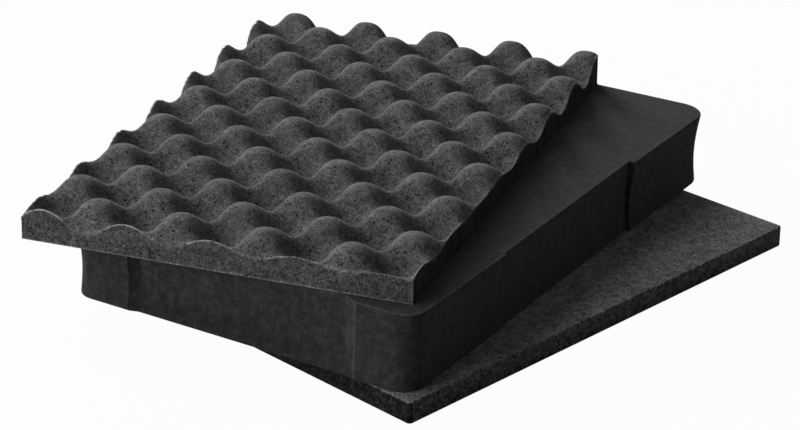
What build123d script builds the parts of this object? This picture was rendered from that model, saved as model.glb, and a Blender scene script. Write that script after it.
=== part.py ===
"""Foam insert for a hard equipment case: three loose pieces, stacked flat and fanned out.

From the bottom up they are a thin base pad, a thick middle block and an egg-crate lid foam with its
bumps upwards. Millimetres, +Z up. X runs along the middle block's short side and Y along its long
side, and each of the other two pieces is turned about the vertical. The origin is at the centre of
the whole stack's bounding box, on the surface that the stack stands on.
"""

import math
import os

from build123d import *

# Base pad: the flat sheet that lines the case's floor
pad_width = 258.0
pad_length = 387.0
pad_thickness = 15.5
pad_corner_radius = 3.0

# Middle block: the thick piece that fills the case up to its rim
block_width = 281.0
block_length = 425.0
block_height = 55.5
front_corner_radius = 16.0
back_corner_radius = 25.0
block_waist = 2.0  # how far the cut sides draw in at half height

# Shallow recesses down two of the block's sides, clear of the case's latches and hinge bosses
recess_length = 186.0
front_recess_shift = 3.0  # along X, from the middle of the short side
front_recess_depth = 5.5
front_recess_foot_depth = 2.0  # at the underside, where the foam spreads
front_recess_run_out = 11.0  # the sloping end of the front recess
side_recess_shift = -5.0  # along Y, from the middle of the long side
side_recess_near_depth = 2.0
side_recess_far_depth = 4.5

# Lid foam: egg-crate sheet, cut to size after it was moulded
lid_width = 279.0
lid_length = 416.0
lid_thickness = 26.9  # from the flat underside to the bump tops
bump_height = 21.4  # from the bottom of a dimple to the top of a bump
bump_pitch = 61.0  # between neighbours in a row, the rows half a pitch apart and staggered
bump_roundness = 0.8  # 0 gives plain cosine bumps, towards 1 they turn flatter on top
bump_fullness = 0.1  # how much wider the bumps are than the dimples
pattern_turn = -1.2  # degrees, the pattern against the sheet's cut edges
pattern_shift = (4.0, 24.3)  # from the sheet's middle to the bump next to it
points_per_pitch = 16  # surface points that carry one bump's shape

# How the pieces lie on each other, from the middle block's centre
pad_place = (59.0, -2.0)
pad_turn = -12.9
lid_place = (-50.7, -19.7)
lid_turn = 11.8


def base_pad():
    """Flat sheet with barely rounded corners."""
    outline = RectangleRounded(pad_width, pad_length, pad_corner_radius)
    return extrude(outline, amount=pad_thickness)


def block_section(height, inset, front_depth):
    """The block's outline at one height, drawn in by inset all round, with both side recesses."""
    width = block_width - 2 * inset
    length = block_length - 2 * inset
    outline = Rectangle(width, length)
    outline = fillet(outline.vertices().group_by(Axis.Y)[-1], back_corner_radius - inset)
    outline = fillet(outline.vertices().group_by(Axis.Y)[0], front_corner_radius - inset)

    # The front recess ends in a square step on the left and a sloping one on the right.
    front_edge = -length / 2
    left = front_recess_shift - recess_length / 2
    right = front_recess_shift + recess_length / 2
    front_recess = make_face(
        Polyline(
            (left, front_edge - 1),
            (left, front_edge + front_depth),
            (right - front_recess_run_out, front_edge + front_depth),
            (right, front_edge),
            (right, front_edge - 1),
            close=True,
        )
    )

    # The long side's recess has square steps at both ends and deepens towards the back.
    side_edge = width / 2
    near = side_recess_shift - recess_length / 2
    far = side_recess_shift + recess_length / 2
    side_recess = make_face(
        Polyline(
            (side_edge + 1, near),
            (side_edge - side_recess_near_depth, near),
            (side_edge - side_recess_far_depth, far),
            (side_edge + 1, far),
            close=True,
        )
    )

    return Pos(0, 0, height) * (outline - front_recess - side_recess)


def middle_block():
    """Thick block whose cut sides bow in, as soft foam does under the knife."""
    bottom = block_section(0, 0, front_recess_foot_depth)
    middle = block_section(block_height / 2, block_waist, front_recess_depth)
    top = block_section(block_height, 0, front_recess_depth)
    return loft([bottom, middle, top])


def bump_level(x, y):
    """Height of the egg-crate surface over the lid foam's underside, at x, y from its middle."""
    turn = math.radians(pattern_turn)
    across = x * math.cos(turn) + y * math.sin(turn) - pattern_shift[0]
    along = y * math.cos(turn) - x * math.sin(turn) - pattern_shift[1]
    wave = math.cos(2 * math.pi * across / bump_pitch) * math.cos(2 * math.pi * along / bump_pitch)
    full = wave + bump_fullness * (1 - wave**2)
    bend = bump_roundness * math.pi / 2
    rounded = math.sin(bend * full) / math.sin(bend)
    return lid_thickness + bump_height / 2 * (rounded - 1)


def lid_foam():
    """Sheet with bumps and dimples on top, whose four cut edges run straight through them."""
    step = bump_pitch / points_per_pitch
    columns = math.ceil(lid_width / step)
    rows = math.ceil(lid_length / step)
    points = []
    for row in range(rows + 1):
        y = lid_length * (row / rows - 0.5)
        line = [lid_width * (column / columns - 0.5) for column in range(columns + 1)]
        points.append([Vector(x, y, bump_level(x, y)) for x in line])
    surface = Face.make_surface_from_array_of_points(points, tol=0.1, min_deg=3)

    # The foam under the surface is carried down past the underside and then cut flat there.
    foam = Solid.extrude(surface, Vector(0, 0, -2 * lid_thickness))
    above_underside = Pos(0, 0, lid_thickness) * Box(2 * lid_width, 2 * lid_length, 2 * lid_thickness)
    return foam & above_underside


def stack():
    """The three pieces in place, with the origin under the middle of the stack."""
    block_level = pad_thickness
    lid_level = block_level + block_height
    pieces = {
        "base_pad": Pos(*pad_place, 0) * Rot(0, 0, pad_turn) * base_pad(),
        "middle_block": Pos(0, 0, block_level) * middle_block(),
        "lid_foam": Pos(*lid_place, lid_level) * Rot(0, 0, lid_turn) * lid_foam(),
    }
    centre = Compound(list(pieces.values())).bounding_box().center()
    return {name: Pos(-centre.X, -centre.Y, 0) * piece for name, piece in pieces.items()}


os.makedirs("parts", exist_ok=True)
for name, piece in stack().items():
    export_step(piece, f"parts/{name}.step")
    print(name, round(piece.volume / 1000), "cm3")
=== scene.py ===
# %% [markdown]
# # Foam insert for a hard equipment case
# Three loose pieces of charcoal foam lie on each other, fanned out so that each one shows: a thin
# base pad, a thick middle block and an egg-crate lid foam with its bumps upwards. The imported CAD
# model says where each piece lies. Each solid is replaced by a finer mesh of the same form, because
# foam lives from its soft rims, its rough cut and the light in its cells.

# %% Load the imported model
import math

import bmesh
import bpy
from mathutils import Matrix, Vector, noise


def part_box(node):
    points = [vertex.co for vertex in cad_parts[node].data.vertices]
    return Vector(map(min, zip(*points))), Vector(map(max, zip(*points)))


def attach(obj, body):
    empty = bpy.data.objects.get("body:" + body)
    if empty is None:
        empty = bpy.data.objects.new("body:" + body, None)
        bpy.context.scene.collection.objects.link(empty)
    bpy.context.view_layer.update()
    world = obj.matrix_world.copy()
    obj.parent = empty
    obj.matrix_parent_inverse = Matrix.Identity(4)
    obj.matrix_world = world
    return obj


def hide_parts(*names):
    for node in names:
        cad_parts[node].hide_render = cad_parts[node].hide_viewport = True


MM = 0.001  # Blender works in metres here, and foam is cut in millimetres

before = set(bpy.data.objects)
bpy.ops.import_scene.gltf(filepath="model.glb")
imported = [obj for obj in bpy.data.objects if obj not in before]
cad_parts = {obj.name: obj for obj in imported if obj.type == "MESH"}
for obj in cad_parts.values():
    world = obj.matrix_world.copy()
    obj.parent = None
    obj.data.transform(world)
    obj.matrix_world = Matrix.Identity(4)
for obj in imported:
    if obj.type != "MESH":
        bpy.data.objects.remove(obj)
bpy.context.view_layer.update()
print("CAD nodes:", ", ".join(sorted(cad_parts)))


# %% [markdown]
# ## Small helpers
# A solid's box says where its piece lies: a flat sheet that is turned about the vertical keeps its
# middle at the middle of its box. A piece is built flat around its own middle, then its mesh, not
# its object, is turned and moved there. So every object stays at the origin, and a pattern on
# Object coordinates has real millimetres and never slides.
#
# Each mesh also carries one number per point. It paints light and shade into the foam's tone there:
# above 0 a painted highlight, paler, and below 0 painted shade, darker.


# %% Place and finish a mesh
def place_of(node, turn):
    """Matrix from a piece's own middle, on its underside, to where the CAD node lies."""
    low, high = (Vector(corner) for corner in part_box(node))
    middle = (low + high) / 2
    return Matrix.Translation((middle.x, middle.y, low.z)) @ Matrix.Rotation(turn, 4, "Z")


def make_piece(name, mesh_maker, place, sharp_angle):
    """Turn a finished bmesh into an object at the origin, smooth but for edges over sharp_angle."""
    mesh_maker.transform(place)
    bmesh.ops.recalc_face_normals(mesh_maker, faces=mesh_maker.faces)
    for face in mesh_maker.faces:
        face.smooth = True
    mesh = bpy.data.meshes.new(name)
    mesh_maker.to_mesh(mesh)
    mesh_maker.free()
    mesh.set_sharp_from_angle(angle=sharp_angle)
    piece = bpy.data.objects.new(name, mesh)
    bpy.context.scene.collection.objects.link(piece)
    triangles = sum(len(polygon.vertices) - 2 for polygon in mesh.polygons)
    print(name, "has", triangles, "triangles")
    return piece


# %% Shape a mesh
def boundary_edges(mesh_maker):
    """The edges that have a face on one side only."""
    return [edge for edge in mesh_maker.edges if edge.is_boundary]


def round_off(mesh_maker, items, affect, radius, segments):
    """Bevel edges or corners to an even round, and give back what the bevel made."""
    return bmesh.ops.bevel(
        mesh_maker,
        geom=items,
        affect=affect,
        offset=radius,
        segments=segments,
        profile=0.5,
        material=-1,
    )


def cut_across(mesh_maker, axis, positions):
    """Cut a mesh along planes square to one axis, so that it has points there to move."""
    for position in positions:
        point, normal = Vector(), Vector()
        point[axis], normal[axis] = position, 1
        everything = mesh_maker.verts[:] + mesh_maker.edges[:] + mesh_maker.faces[:]
        bmesh.ops.bisect_plane(
            mesh_maker, geom=everything, dist=MM / 1000, plane_co=point, plane_no=normal
        )


def ramp(value, start, end):
    """0 up to start, 1 from end on, and a straight line between them."""
    return min(1, max(0, (value - start) / (end - start)))


# %% [markdown]
# ## Base pad
# On the real insert this is a plain sheet, sliced from a block of foam and punched out with barely
# rounded corners. A stretched cube with two bevels has that form: a first bevel on the four upright
# edges for the corners, and a second, tiny one on all the rims, because foam never holds a
# knife-sharp edge and the soft rim is what catches the light.

# %% Base pad
PAD_SIZE = Vector((258, 387, 15.5)) * MM
PAD_TURN = math.radians(-12.9)
PAD_CORNER_RADIUS = 3 * MM
PAD_RIM_RADIUS = 0.8 * MM
# Painted light: the pad's +X side is painted paler, where the lamps leave it in shade.
PAD_SIDE_PAINTED_LIGHT = 0.6  # the +X side is paler than the other three


def rise(edge):
    """How much higher one end of an edge is than the other."""
    return abs(edge.verts[0].co.z - edge.verts[1].co.z)


def base_pad():
    """The sheet as one closed mesh, on z = 0 around its own middle."""
    sheet = bmesh.new()
    bmesh.ops.create_cube(sheet, size=1)
    bmesh.ops.scale(sheet, vec=PAD_SIZE, verts=sheet.verts)
    bmesh.ops.translate(sheet, vec=(0, 0, PAD_SIZE.z / 2), verts=sheet.verts)
    uprights = [edge for edge in sheet.edges if rise(edge) > PAD_SIZE.z / 2]
    round_off(sheet, uprights, "EDGES", PAD_CORNER_RADIUS, 6)
    level = [edge for edge in sheet.edges if rise(edge) < MM / 1000]
    round_off(sheet, level, "EDGES", PAD_RIM_RADIUS, 3)
    # The +X side gets painted light.
    painted_light_and_shade = sheet.verts.layers.float.new("painted_light_and_shade")
    for vert in sheet.verts:
        vert[painted_light_and_shade] = PAD_SIDE_PAINTED_LIGHT if vert.co.x > PAD_SIZE.x / 2 - MM / 100 else 0
    return sheet


pad = make_piece("base_pad_sheet", base_pad(), place_of("base_pad", PAD_TURN), math.radians(40))


# %% [markdown]
# ## Middle block
# The thick block is sawn from finer foam. Its upright sides bow in a little at half height, and
# shallow recesses run down two of them. The outline starts as one flat face with its corners
# bevelled round, and is extruded to its height. Cuts across it and at chosen levels give points to
# move, and then every point is drawn in by rules: the recesses first, then the bow, the lean and the
# soft rims. Cutting a plain box out of the block would be quicker, but the recess would then be
# equally deep from its foot to its top, and the bow wouldn't carry on inside it.

# %% The block's sizes
BLOCK_WIDTH, BLOCK_LENGTH, BLOCK_HEIGHT = 281 * MM, 425 * MM, 55.5 * MM
FRONT_CORNER_RADIUS, BACK_CORNER_RADIUS = 16 * MM, 22 * MM
BLOCK_WAIST = 2 * MM  # how far all sides bow in at half height
BLOCK_LEAN = 2.5 * MM  # how far the long sides lean in towards the foot
BLOCK_RIM_RADIUS, BLOCK_FOOT_RADIUS = 1.2 * MM, 1 * MM
FRONT_RECESS_FROM, FRONT_RECESS_TO = -90 * MM, 96 * MM
FRONT_DEPTH, FRONT_FOOT_DEPTH, FRONT_RUN_OUT = 5.5 * MM, 2 * MM, 11 * MM
FRONT_STEP_WIDTH = 6.5 * MM  # the step at the recess's left end is worn to a slope
SIDE_RECESS_FROM, SIDE_RECESS_TO = -98 * MM, 88 * MM
SIDE_DEPTH_NEAR, SIDE_DEPTH_FAR = 2 * MM, 4.5 * MM
SIDE_STEP_WIDTH = 0.5 * MM  # a sawn step is upright but for this much
SIDE_FOOT_SHARE = 0.6  # how much of the side recess's depth is left at the foot
RECESS_REACH = 30 * MM  # how far into the block the points give way, so that none cross
RIM_BAND = 1.5 * MM  # how far from a rim the painted highlight reaches
# Painted light on the front recess: a highlight on its right end, which faces the key lamp, and shade
# as deep on its left step.
RECESS_EDGE_PAINTED_LIGHT = 0.8  # the front recess has a pale right edge and an equally dark left one


# %% The rules that bend the block
def front_depth(x, level):
    """The front recess: a worn step on the left, a slope on the right, and a foot that spreads."""
    left_step = ramp(x, FRONT_RECESS_FROM, FRONT_RECESS_FROM + FRONT_STEP_WIDTH)
    right_slope = ramp(x, FRONT_RECESS_TO, FRONT_RECESS_TO - FRONT_RUN_OUT)
    over_foot = 1 - (1 - ramp(level, 0, BLOCK_HEIGHT / 2)) ** 2
    depth = FRONT_FOOT_DEPTH + over_foot * (FRONT_DEPTH - FRONT_FOOT_DEPTH)
    return depth * min(left_step, right_slope)


def side_depth(y, level):
    """The long side's recess, square at both ends and deeper towards the back and the top."""
    near_step = ramp(y, SIDE_RECESS_FROM, SIDE_RECESS_FROM + SIDE_STEP_WIDTH)
    far_step = ramp(y, SIDE_RECESS_TO, SIDE_RECESS_TO - SIDE_STEP_WIDTH)
    along = ramp(y, SIDE_RECESS_FROM, SIDE_RECESS_TO)
    upwards = SIDE_FOOT_SHARE + (1 - SIDE_FOOT_SHARE) * level / BLOCK_HEIGHT
    depth = SIDE_DEPTH_NEAR + along * (SIDE_DEPTH_FAR - SIDE_DEPTH_NEAR)
    return min(near_step, far_step) * depth * upwards


def drawn_in(level):
    """How far the outline draws in at one level: a bow over the height, and soft rims."""
    level = min(BLOCK_HEIGHT, max(0, level))
    inset = BLOCK_WAIST * math.sin(math.pi * level / BLOCK_HEIGHT)
    for radius, to_rim in ((BLOCK_FOOT_RADIUS, level), (BLOCK_RIM_RADIUS, BLOCK_HEIGHT - level)):
        within = max(0, radius - to_rim)
        inset += radius - math.sqrt(radius**2 - within**2)
    return inset


def recess_painted_light(x, y):
    """Painted light on the upright sides: a highlight at the front recess's right end and shade at its
    left end.
    """
    if y > MM - BLOCK_LENGTH / 2:
        return 0
    if abs(x - FRONT_RECESS_TO) < MM / 10:
        return RECESS_EDGE_PAINTED_LIGHT
    return -RECESS_EDGE_PAINTED_LIGHT if abs(x - FRONT_RECESS_FROM) < MM / 10 else 0


# %% [markdown]
# ## Where the block is cut
# A rule can only bend a mesh where it has points. Evenly spaced cuts carry the bow and the lean. A
# cut at each end of a recess keeps its step crisp, and a few more close to the rims, ever nearer
# together towards the edge, give the soft rims their round.

# %% The block's cuts
BLOCK_STEP = 6 * MM
BOW_LEVELS = 12
RIM_SHARES = (0.08, 0.25, 0.55, 1)


def evenly(length):
    """Places one step apart, over a length that has its middle at 0."""
    count = int(length / 2 / BLOCK_STEP)
    return [index * BLOCK_STEP for index in range(-count, count + 1)]


def cut_block(block):
    """Give the block points wherever one of its rules bends it."""
    across = evenly(BLOCK_WIDTH)
    across += [FRONT_RECESS_FROM, FRONT_RECESS_FROM + FRONT_STEP_WIDTH]
    across += [FRONT_RECESS_TO, FRONT_RECESS_TO - FRONT_RUN_OUT]
    for edge in (FRONT_RECESS_FROM, FRONT_RECESS_TO):
        across += [edge - RIM_BAND, edge + RIM_BAND]
    along = evenly(BLOCK_LENGTH)
    along += [SIDE_RECESS_FROM, SIDE_RECESS_FROM + SIDE_STEP_WIDTH]
    along += [SIDE_RECESS_TO - SIDE_STEP_WIDTH, SIDE_RECESS_TO]
    levels = [BLOCK_FOOT_RADIUS * share for share in RIM_SHARES]
    levels += [BLOCK_HEIGHT - BLOCK_RIM_RADIUS * share for share in RIM_SHARES]
    levels += [BLOCK_HEIGHT * share / BOW_LEVELS for share in range(1, BOW_LEVELS)]
    for axis, positions in enumerate((across, along, levels)):
        cut_across(block, axis, positions)


# %% Middle block
def raised_block():
    """The outline raised to its height, with a painted highlight in a band along the rim of its top."""
    block = bmesh.new()
    painted_light_and_shade = block.verts.layers.float.new("painted_light_and_shade")
    bmesh.ops.create_grid(block, x_segments=1, y_segments=1, size=0.5)
    bmesh.ops.scale(block, vec=(BLOCK_WIDTH, BLOCK_LENGTH, 1), verts=block.verts)
    front = [vert for vert in block.verts if vert.co.y < 0]
    round_off(block, front, "VERTICES", FRONT_CORNER_RADIUS, 12)
    back = [vert for vert in block.verts if vert.co.y > 0]
    round_off(block, back, "VERTICES", BACK_CORNER_RADIUS, 12)

    raised = bmesh.ops.extrude_face_region(block, geom=block.faces[:])["geom"]
    upper = [item for item in raised if isinstance(item, bmesh.types.BMVert)]
    bmesh.ops.translate(block, vec=(0, 0, BLOCK_HEIGHT), verts=upper)
    for vert in upper:
        vert[painted_light_and_shade] = 1
    top = [item for item in raised if isinstance(item, bmesh.types.BMFace)]
    bmesh.ops.inset_region(block, faces=top, thickness=RIM_BAND)
    for vert in top[0].verts:
        vert[painted_light_and_shade] = 0
    return block


def middle_block():
    """The block as one closed mesh, on z = 0 around its own middle."""
    block = raised_block()
    cut_block(block)
    painted_light_and_shade = block.verts.layers.float["painted_light_and_shade"]
    for vert in block.verts:
        x, y, level = vert.co
        vert.co.y += front_depth(x, level) * ramp(y, RECESS_REACH - BLOCK_LENGTH / 2, -BLOCK_LENGTH / 2)
        vert.co.x -= side_depth(y, level) * ramp(x, BLOCK_WIDTH / 2 - RECESS_REACH, BLOCK_WIDTH / 2)
        # Under the top's rim band, the sides carry only the painted highlight and shade at the recess
        # ends.
        if level < BLOCK_HEIGHT - BLOCK_RIM_RADIUS / 2:
            vert[painted_light_and_shade] = recess_painted_light(x, y)
        inset = drawn_in(level)
        lean = BLOCK_LEAN * (1 - level / BLOCK_HEIGHT)
        vert.co.x *= 1 - 2 * (inset + lean) / BLOCK_WIDTH
        vert.co.y *= 1 - 2 * inset / BLOCK_LENGTH
    return block


block = make_piece("middle_block_foam", middle_block(), place_of("middle_block", 0), math.radians(40))


# %% [markdown]
# ## Egg-crate lid foam
# Real convoluted foam is squeezed between two rolls with fingers and sliced while it is squeezed, so
# that it springs back as rows of round bumps with dimples between them. The sheet is then cut to size
# straight through the bumps. A fine grid, lifted by the product of two cosine waves, has that form,
# and needs no bump to be modelled by itself. Its rim is carried down to the flat underside, which
# leaves the wavy cut edge without further work.

# %% The lid foam's bumps
LID_WIDTH, LID_LENGTH, LID_THICKNESS = 279 * MM, 416 * MM, 26.9 * MM
LID_TURN = math.radians(11.8)
BUMP_HEIGHT, BUMP_PITCH = 21.4 * MM, 61 * MM
BUMP_ROUNDNESS = 0.8  # 0 gives plain cosine bumps, towards 1 they turn flatter on top
BUMP_FULLNESS = 0.1  # how much wider the bumps are than the dimples
PATTERN_TURN = math.radians(-1.2)
PATTERN_SHIFT = Vector((4.0, 24.3)) * MM


def bump_level(x, y):
    """Height of the bumpy surface over the underside."""
    across = x * math.cos(PATTERN_TURN) + y * math.sin(PATTERN_TURN) - PATTERN_SHIFT.x
    along = y * math.cos(PATTERN_TURN) - x * math.sin(PATTERN_TURN) - PATTERN_SHIFT.y
    wave = math.cos(math.tau * across / BUMP_PITCH) * math.cos(math.tau * along / BUMP_PITCH)
    full = wave + BUMP_FULLNESS * (1 - wave**2)
    bend = BUMP_ROUNDNESS * math.pi / 2
    return LID_THICKNESS + BUMP_HEIGHT / 2 * (math.sin(bend * full) / math.sin(bend) - 1)


# %% Lid foam
LID_STEP = 1.3 * MM  # between the grid's points
LID_RIM_RADIUS = 1.2 * MM  # the cut edge is soft
RAGGED_DEPTH, RAGGED_SIZE = 1.2 * MM, 3 * MM  # the long sides' cut is torn here and there
# Painted shade: the +X cut, turned away from the lamps, is painted darker. Painted highlights: the
# upright corners and the lower rim of the walls are painted paler.
DARK_SIDE_PAINTED_SHADE = -0.65  # the +X cut is darker than the other three
CORNER_PAINTED_HIGHLIGHT, UNDERSIDE_PAINTED_HIGHLIGHT = 0.3, 0.5


def wall_painted_light(x, y):
    """Painted light on the cut wall under one point of the rim: shade on the +X cut, highlight at the
    corners.
    """
    on_long_side = abs(x) > LID_WIDTH / 2 - MM / 10
    on_short_side = abs(y) > LID_LENGTH / 2 - MM / 10
    if on_long_side and on_short_side:
        return CORNER_PAINTED_HIGHLIGHT
    return DARK_SIDE_PAINTED_SHADE if on_long_side and x > 0 else 0


def next_ring(lid):
    """Carry the open edge on by one ring of faces, and give back the ring's new points."""
    bmesh.ops.extrude_edge_only(lid, edges=boundary_edges(lid))
    return {vert for edge in boundary_edges(lid) for vert in edge.verts}


def lid_foam():
    """The sheet as one closed mesh, on z = 0 around its own middle."""
    lid = bmesh.new()
    painted_light_and_shade = lid.verts.layers.float.new("painted_light_and_shade")
    columns, rows = round(LID_WIDTH / LID_STEP), round(LID_LENGTH / LID_STEP)
    bmesh.ops.create_grid(lid, x_segments=columns, y_segments=rows, size=0.5)
    bmesh.ops.scale(lid, vec=(LID_WIDTH, LID_LENGTH, 1), verts=lid.verts)
    for vert in lid.verts:
        vert.co.z = bump_level(vert.co.x, vert.co.y)
    rim = boundary_edges(lid)

    # One ring close under the rim, one close over the underside, and the underside's own.
    for vert in next_ring(lid):
        vert.co.z -= RIM_BAND
        vert[painted_light_and_shade] = wall_painted_light(vert.co.x, vert.co.y)
    for vert in next_ring(lid):
        vert.co.z = RIM_BAND
        vert[painted_light_and_shade] = wall_painted_light(vert.co.x, vert.co.y)
    for vert in next_ring(lid):
        vert.co.z = 0
        vert[painted_light_and_shade] = wall_painted_light(vert.co.x, vert.co.y) or UNDERSIDE_PAINTED_HIGHLIGHT
    bmesh.ops.contextual_create(lid, geom=boundary_edges(lid))

    # The rim's painted highlight is strongest on the crests, where it stands highest.
    for vert in round_off(lid, rim, "EDGES", LID_RIM_RADIUS, 2)["verts"]:
        vert[painted_light_and_shade] = ramp(vert.co.z, LID_THICKNESS - BUMP_HEIGHT, LID_THICKNESS) ** 2
    for vert in lid.verts:
        if abs(vert.co.x) > LID_WIDTH / 2 - LID_RIM_RADIUS - MM / 10 and vert.co.z > 0:
            torn = RAGGED_DEPTH * abs(noise.noise(Vector((0, vert.co.y, vert.co.z)) / RAGGED_SIZE))
            vert.co.x -= math.copysign(torn, vert.co.x)
            vert.co.z -= torn if vert.co.z > RIM_BAND else 0
    return lid


lid = make_piece("lid_egg_crate_foam", lid_foam(), place_of("lid_foam", LID_TURN), math.radians(50))


# %% [markdown]
# ## Foam materials
# All three pieces are soft, charcoal-coloured polyurethane foam. Cut foam has no skin: the eye sees
# struts and, between them, holes that light hardly leaves. So it looks matt and mottled, and its
# colour is really a mixture of pale struts and dark pores. An image of foam could be wrapped round
# each piece, but it would need seams and would show its own size. Here noise patterns in real
# millimetres are added up to one tone, and a colour ramp turns the tone to foam, dark pore to pale
# strut. The pattern runs through the solid as real cells do, so it meets at every edge.
#
# The next cell has the helpers. The shader takes colours as linear light, while a maker picks them
# as sRGB hex, so one function turns the one into the other.


# %% Colour and node helpers
def linear(hex_colour):
    """sRGB hex to the linear values that a shader takes."""
    channels = [int(hex_colour[start : start + 2], 16) / 255 for start in (1, 3, 5)]
    return [c / 12.92 if c <= 0.04045 else ((c + 0.055) / 1.055) ** 2.4 for c in channels] + [1]


def add_node(tree, kind, inputs=None, **settings):
    """Add one node with its settings, and set or link its inputs."""
    node = tree.nodes.new(kind)
    for name, value in settings.items():
        setattr(node, name, value)
    for name, value in (inputs or {}).items():
        if isinstance(value, bpy.types.NodeSocket):
            tree.links.new(value, node.inputs[name])
        else:
            node.inputs[name].default_value = value
    return node


def new_material(name):
    """A material with an empty node tree, and that tree."""
    material = bpy.data.materials.new(name)
    material.use_nodes = True
    material.node_tree.nodes.clear()
    return material, material.node_tree


# %% Patterns that both foams share
NOISE_ROUGHNESS = 0.6  # how much of a noise pattern is its finer detail
LEVEL_FACE, UPRIGHT_FACE = 0.6, 0.1  # how far a face looks up, as its normal's Z


def weighted(tree, parts):
    """Sum of patterns, each times its own weight."""
    total = 0.0
    for pattern, weight in parts:
        inputs = {0: pattern, 1: weight, 2: total}
        total = add_node(tree, "ShaderNodeMath", inputs, operation="MULTIPLY_ADD").outputs[0]
    return total


def upright_share(tree):
    """1 on upright faces and 0 on level ones."""
    facing = add_node(tree, "ShaderNodeNewGeometry").outputs["Normal"]
    upward = add_node(tree, "ShaderNodeSeparateXYZ", {"Vector": facing}).outputs["Z"]
    inputs = {"Value": upward, "From Min": LEVEL_FACE, "From Max": UPRIGHT_FACE}
    return add_node(tree, "ShaderNodeMapRange", inputs).outputs["Result"]


# %% From a tone to foam
FOAM_ROUGHNESS = 0.95  # struts and holes scatter the light all ways
BUMP_STRENGTH = 0.6
SHEEN_ROUGHNESS = 0.5


def foam_shader(tree, tone, darkest, palest, colours, relief, relief_depth, gloss, sheen):
    """Turn a tone pattern into foam's colours, from its deepest pore to its palest strut."""
    share = add_node(
        tree, "ShaderNodeMapRange", {"Value": tone, "From Min": darkest, "From Max": palest}
    ).outputs["Result"]
    colour_ramp = add_node(tree, "ShaderNodeValToRGB", {"Fac": share})
    stops = colour_ramp.color_ramp.elements
    for extra in range(len(colours) - len(stops)):
        stops.new(1.0)
    for index, colour in enumerate(colours):
        stops[index].position = index / (len(colours) - 1)
        stops[index].color = linear(colour)
    bump = add_node(
        tree, "ShaderNodeBump", {"Height": relief, "Distance": relief_depth, "Strength": BUMP_STRENGTH}
    )
    shader = add_node(
        tree,
        "ShaderNodeBsdfPrincipled",
        {
            "Base Color": colour_ramp.outputs["Color"],
            "Normal": bump.outputs["Normal"],
            "Roughness": FOAM_ROUGHNESS,
            "Specular IOR Level": gloss,
            "Sheen Weight": sheen,
            "Sheen Roughness": SHEEN_ROUGHNESS,
        },
    )
    add_node(tree, "ShaderNodeOutputMaterial", {"Surface": shader.outputs["BSDF"]})


# %% [markdown]
# ## Open-cell foam, for the lid foam and the base pad
# Coarse open-cell foam is made in big blocks and split into sheets, so its surface is cut cells all
# over. A real cell is about half a millimetre to a millimetre wide. That is too fine to show from a
# step away, so the grain is drawn at 1.3 mm, as coarse as it needs to be. Clumps of cells and a slow
# drift over a hand's breadth keep it from looking printed, and a few cells stay open as dark pores.
# The base pad has harder contrasts on top than the lid foam, with paler colours that paint light onto a
# top the stack shades, and painted shade that makes its sides far darker. So the same function makes
# two materials, and both give their upright faces painted shade.

# %% Open-cell foam
OPEN_GRAIN, OPEN_CLUMP, OPEN_DRIFT = 1.3 * MM, 4.5 * MM, 45 * MM
PORE_SPACING = 4.5 * MM
PORE_RIM, PORE_FLOOR = 0.22, 0.1  # from a pore's middle, as shares of the spacing
OPEN_DARKEST, OPEN_PALEST = 0.35, 1.55  # the tones that get the first and the last colour
OPEN_RELIEF = 0.5 * MM


def open_cell_foam(name, colours, painted_side_shade):
    """Salt-and-pepper grain of pale struts and dark pores, with painted shade that shifts the upright
    faces.
    """
    material, tree = new_material(name)
    place = add_node(tree, "ShaderNodeTexCoord").outputs["Object"]
    grain, clumps, drift = (
        add_node(
            tree,
            "ShaderNodeTexNoise",
            {"Vector": place, "Scale": 1 / size, "Detail": detail, "Roughness": NOISE_ROUGHNESS},
        ).outputs["Fac"]
        for size, detail in ((OPEN_GRAIN, 1.0), (OPEN_CLUMP, 2.0), (OPEN_DRIFT, 2.0))
    )
    from_pore = add_node(
        tree, "ShaderNodeTexVoronoi", {"Vector": place, "Scale": 1 / PORE_SPACING}, feature="F1"
    ).outputs["Distance"]
    pores = add_node(
        tree, "ShaderNodeMapRange", {"Value": from_pore, "From Min": PORE_RIM, "From Max": PORE_FLOOR}
    ).outputs["Result"]
    painted_light_and_shade = add_node(tree, "ShaderNodeAttribute", attribute_name="painted_light_and_shade").outputs["Fac"]
    tone_parts = [
        (grain, 1.0),
        (clumps, 0.6),
        (drift, 0.25),
        (pores, -0.5),
        # Painted shade on the upright faces, and the mesh's painted highlights and shade.
        (upright_share(tree), painted_side_shade),
        (painted_light_and_shade, 0.75),
    ]
    foam_shader(
        tree,
        tone=weighted(tree, tone_parts),
        darkest=OPEN_DARKEST,
        palest=OPEN_PALEST,
        colours=colours,
        relief=weighted(tree, [(grain, 1.0), (clumps, 0.8), (pores, -0.6)]),
        relief_depth=OPEN_RELIEF,
        gloss=0.02,
        sheen=0.13,
    )
    print(name, "has", len(tree.nodes), "nodes")
    return material


# Open-cell polyurethane, cut with a knife: dull charcoal, mottled by struts that catch the light. Its
# upright faces get a little painted shade.
cut_foam = open_cell_foam(
    "Open-cell foam, charcoal", ("#101010", "#404040", "#737373", "#BEBEBE"), painted_side_shade=-0.06
)
# The same foam, punched out: its top is just as open. Its paler colours paint light onto a top that the
# stack shades, and painted shade makes its cut sides far darker.
pad_foam_painted_light = open_cell_foam(
    "Open-cell foam, charcoal, painted light and shade", ("#0E0E0E", "#474747", "#9C9C9C", "#D0D0D0"), painted_side_shade=-0.52
)


# %% [markdown]
# ## Fine-cell foam, for the middle block
# The block's foam has cells well under half a millimetre wide, so it looks almost even, like felt.
# The grain is drawn at 1.6 mm and with little contrast, since the true one would vanish. A saw leaves
# faint streaks down the sides. They are the same noise, squeezed along Z by a Mapping node, which
# stretches its blobs into upright lines.

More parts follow.
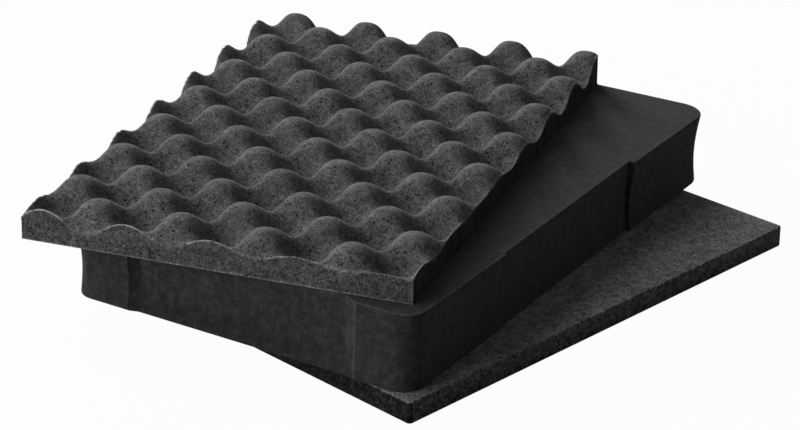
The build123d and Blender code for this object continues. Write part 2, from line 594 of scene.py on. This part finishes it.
# %% Fine-cell foam
FINE_GRAIN, FINE_CLUMP, FINE_STREAK = 1.6 * MM, 6 * MM, 5 * MM
STREAK_SQUEEZE = 0.06  # along Z, so that a streak is about 17 times as long as wide
FINE_DARKEST, FINE_PALEST = 0.63, 1.13  # the tones that get the first and the last colour
FINE_RELIEF = 0.25 * MM


def fine_cell_foam(name, colours):
    """Even, dark foam with soft mottling, faint streaks down its sawn sides, and painted light that
    makes those sides paler.
    """
    material, tree = new_material(name)
    place = add_node(tree, "ShaderNodeTexCoord").outputs["Object"]
    squeezed = add_node(
        tree, "ShaderNodeMapping", {"Vector": place, "Scale": (1.0, 1.0, STREAK_SQUEEZE)}
    ).outputs["Vector"]
    grain, clumps, streaks = (
        add_node(
            tree,
            "ShaderNodeTexNoise",
            {"Vector": where, "Scale": 1 / size, "Detail": detail, "Roughness": NOISE_ROUGHNESS},
        ).outputs["Fac"]
        for where, size, detail in (
            (place, FINE_GRAIN, 2.0),
            (place, FINE_CLUMP, 3.0),
            (squeezed, FINE_STREAK, 2.0),
        )
    )
    painted_light_and_shade = add_node(tree, "ShaderNodeAttribute", attribute_name="painted_light_and_shade").outputs["Fac"]
    tone_parts = [
        (grain, 0.5),
        (clumps, 0.65),
        (streaks, 0.25),
        # Painted light: upright faces paler than the top, and the mesh's painted highlights and shade.
        (upright_share(tree), 0.21),
        (painted_light_and_shade, 0.3),
    ]
    foam_shader(
        tree,
        tone=weighted(tree, tone_parts),
        darkest=FINE_DARKEST,
        palest=FINE_PALEST,
        colours=colours,
        relief=grain,
        relief_depth=FINE_RELIEF,
        gloss=0.1,
        sheen=0.07,
    )
    print(name, "has", len(tree.nodes), "nodes")
    return material


# Fine-cell polyurethane, sawn: darker and smoother than the other two, with a trace of gloss.
fine_cell = fine_cell_foam("Fine-cell foam, sawn", ("#202020", "#323232", "#484848"))


# %% [markdown]
# ## Each piece gets its foam
# A new piece stands in for one CAD node, which is hidden, and gets its foam. Nothing here moves, so all
# three ride on the one body.

# %% Finish the pieces
for piece, node, slot, material in (
    (pad, "base_pad", "open_cell_foam", pad_foam_painted_light),
    (block, "middle_block", "fine_foam", fine_cell),
    (lid, "lid_foam", "open_cell_foam", cut_foam),
):
    piece.data.materials.append(material)
    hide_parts(node)
    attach(piece, "root")


# %% [markdown]
# ## Floor
# The stack stands on a white paper sweep. Real paper under these lamps would come out grey in places,
# and turning up the lamps would wash out the foam. So the paper glows plain white for the camera
# alone, by way of the Light Path node, and a small share of its true shade is left in, which keeps
# the contact shadows. To every other ray it is ordinary matt paper, which throws soft light back up
# at the foam's sides.

# %% Floor
FLOOR_HALF_WIDTH = 6  # metres, well past what the camera sees
PAPER_COLOUR = "#B0B0B0"
WHITE_SHARE = 0.97  # how much of what the camera sees is plain white


def studio_floor():
    """A flat sheet under the stack."""
    sheet = bmesh.new()
    bmesh.ops.create_grid(sheet, x_segments=1, y_segments=1, size=FLOOR_HALF_WIDTH)
    mesh = bpy.data.meshes.new("studio_floor")
    sheet.to_mesh(mesh)
    sheet.free()
    floor = bpy.data.objects.new("studio_floor", mesh)
    bpy.context.scene.collection.objects.link(floor)
    material, tree = new_material("White paper sweep")
    paper = add_node(tree, "ShaderNodeBsdfDiffuse", {"Color": linear(PAPER_COLOUR)})
    glow = add_node(tree, "ShaderNodeEmission", {"Color": (1, 1, 1, 1), "Strength": 1.0})
    seen = add_node(tree, "ShaderNodeLightPath").outputs["Is Camera Ray"]
    share = add_node(tree, "ShaderNodeMath", {0: seen, 1: WHITE_SHARE}, operation="MULTIPLY")
    mixed = add_node(
        tree, "ShaderNodeMixShader", {"Fac": share.outputs[0], 1: paper.outputs[0], 2: glow.outputs[0]}
    )
    add_node(tree, "ShaderNodeOutputMaterial", {"Surface": mixed.outputs[0]})
    mesh.materials.append(material)
    return floor


studio_floor()


# %% [markdown]
# ## World
# The world is the room round the table. An all-white world would be the easy way to a white
# background, but it would light the foam from every side and flatten it. Here it is white only where
# the camera looks past the floor, and where a glossy surface mirrors it. For all other light it is a
# nearly dark room, so that the lamps alone model the form.

# %% World
ROOM_STRENGTH = 0.03

world = bpy.data.worlds.new("Studio")
bpy.context.scene.world = world
world.use_nodes = True
sky = world.node_tree
sky.nodes.clear()
path = add_node(sky, "ShaderNodeLightPath")
backdrop = add_node(
    sky,
    "ShaderNodeMath",
    {0: path.outputs["Is Camera Ray"], 1: path.outputs["Is Glossy Ray"]},
    operation="MAXIMUM",
)
room = add_node(sky, "ShaderNodeBackground", {"Color": (1, 1, 1, 1), "Strength": ROOM_STRENGTH})
white = add_node(sky, "ShaderNodeBackground", {"Color": (1, 1, 1, 1), "Strength": 1.0})
sky_mix = add_node(
    sky, "ShaderNodeMixShader", {"Fac": backdrop.outputs[0], 1: room.outputs[0], 2: white.outputs[0]}
)
add_node(sky, "ShaderNodeOutputWorld", {"Surface": sky_mix.outputs[0]})


# %% [markdown]
# ## Lamps
# Dark, matt foam has no highlights to show its form, so shading has to do it. Four soft boxes hang
# round the stack at one distance. The key comes from high on the left and leaves the right-hand sides
# in shade. A faint one overhead lifts the dimples a little. A low one in front lights the cut front
# edges, and a small, strong one behind on the left catches the backs of the bumps. Wide lamps were
# chosen over point lamps or a sun because their shadows fade out, as in a studio.

# %% Lamps
LAMP_DISTANCE = 2.4  # metres from the middle of the stack's foot


def soft_box(name, direction, size, power):
    """Square lamp, size in metres and power in watts, that hangs in one direction and faces back."""
    lamp = bpy.data.lights.new(name, "AREA")
    lamp.shape = "SQUARE"
    lamp.size = size
    lamp.energy = power
    holder = bpy.data.objects.new(name, lamp)
    holder.location = Vector(direction).normalized() * LAMP_DISTANCE
    holder.rotation_euler = Vector(direction).to_track_quat("Z", "Y").to_euler()
    bpy.context.scene.collection.objects.link(holder)
    print(name, "is", size, "m wide and gives", power, "W")
    return holder


soft_box("key_left", (-0.75, -0.1, 1.0), 1.8, 29)
soft_box("top_soft", (0.15, 0.1, 1.0), 1.2, 3.5)
soft_box("fill_front", (-0.5, -1.0, 0.35), 1.4, 28)
soft_box("rim_back", (-0.9, 0.7, 0.4), 0.8, 38)


# %% [markdown]
# ## Camera
# A product shot is taken from a step back with a long lens, which keeps parallel edges nearly
# parallel. The camera could be placed by three coordinates and three turns, but they'd be hard to
# read. It is set here as a person would say it: the point it aims at, how far round and how far up it
# stands, and how far away. The Standard view transform keeps the colours as they were chosen.

# %% Camera
AZIMUTH, ELEVATION, ROLL = (math.radians(angle) for angle in (32.28, 24.19, 0.24))
AIM = Vector((0.0489, -0.0646, 0.0713))  # metres, front right of the middle, by the lid's underside
CAMERA_DISTANCE = 1.6133  # metres
LENS, SENSOR_WIDTH = 106.2, 36  # millimetres, as on a full-frame camera

to_camera = Vector(
    (
        math.sin(AZIMUTH) * math.cos(ELEVATION),
        -math.cos(AZIMUTH) * math.cos(ELEVATION),
        math.sin(ELEVATION),
    )
)
camera_data = bpy.data.cameras.new("Camera")
camera_data.lens = LENS
camera_data.sensor_width = SENSOR_WIDTH
camera = bpy.data.objects.new("Camera", camera_data)
camera.location = AIM + to_camera * CAMERA_DISTANCE
facing_aim = to_camera.to_track_quat("Z", "Y").to_matrix()
camera.rotation_euler = (facing_aim @ Matrix.Rotation(ROLL, 3, "Z")).to_euler()
bpy.context.scene.collection.objects.link(camera)
bpy.context.scene.camera = camera
bpy.context.scene.view_settings.view_transform = "Standard"
print("camera stands at", [round(value, 3) for value in camera.location], "m")
